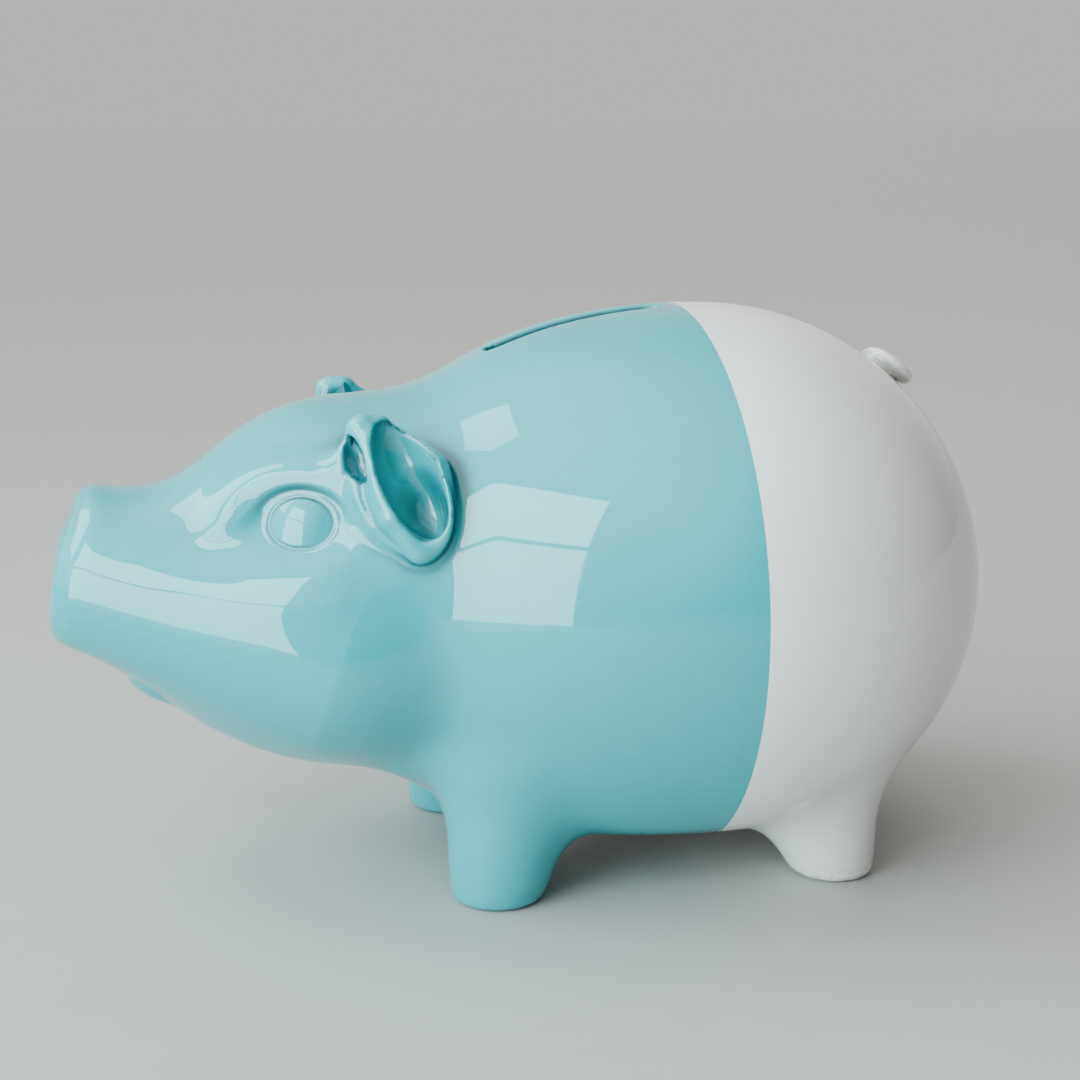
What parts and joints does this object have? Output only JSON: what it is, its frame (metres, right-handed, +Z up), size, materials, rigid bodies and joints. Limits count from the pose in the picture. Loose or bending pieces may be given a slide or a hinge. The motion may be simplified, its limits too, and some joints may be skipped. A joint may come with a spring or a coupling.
{
  "type": "piggy bank",
  "caption": "Rounded standing pig coin bank in two-tone glazed ceramic, with a coin slot in its back and a pull-out stopper in its belly.",
  "frame": {"origin": "middle of the pig's length and width, on the surface it stands on", "axes": "+X from the snout to the tail, +Y to the pig's right side, +Z up"},
  "size_m": [0.1508, 0.1014, 0.0914],
  "materials": {
    "turquoise_glaze": "high gloss glaze",
    "white_glaze": "high gloss glaze",
    "stopper_rubber": "soft satin"
  },
  "bodies": {
    "pig": {"front_shell": "turquoise_glaze", "rear_shell": "white_glaze", "snout_disc": "turquoise_glaze", "lower_lip": "turquoise_glaze", "left_ear": "turquoise_glaze", "right_ear": "turquoise_glaze", "left_eye": "turquoise_glaze", "right_eye": "turquoise_glaze", "front_left_leg": "turquoise_glaze", "front_right_leg": "turquoise_glaze", "rear_left_leg": "white_glaze", "rear_right_leg": "white_glaze", "tail": "white_glaze"},
    "plug": {"stopper": "stopper_rubber"}
  },
  "joints": [
    {"name": "stopper_pull", "type": "slide", "parent": "pig", "child": "plug", "axis": [0, 0, -1], "range_m": [0, 0.016]}
  ]
}
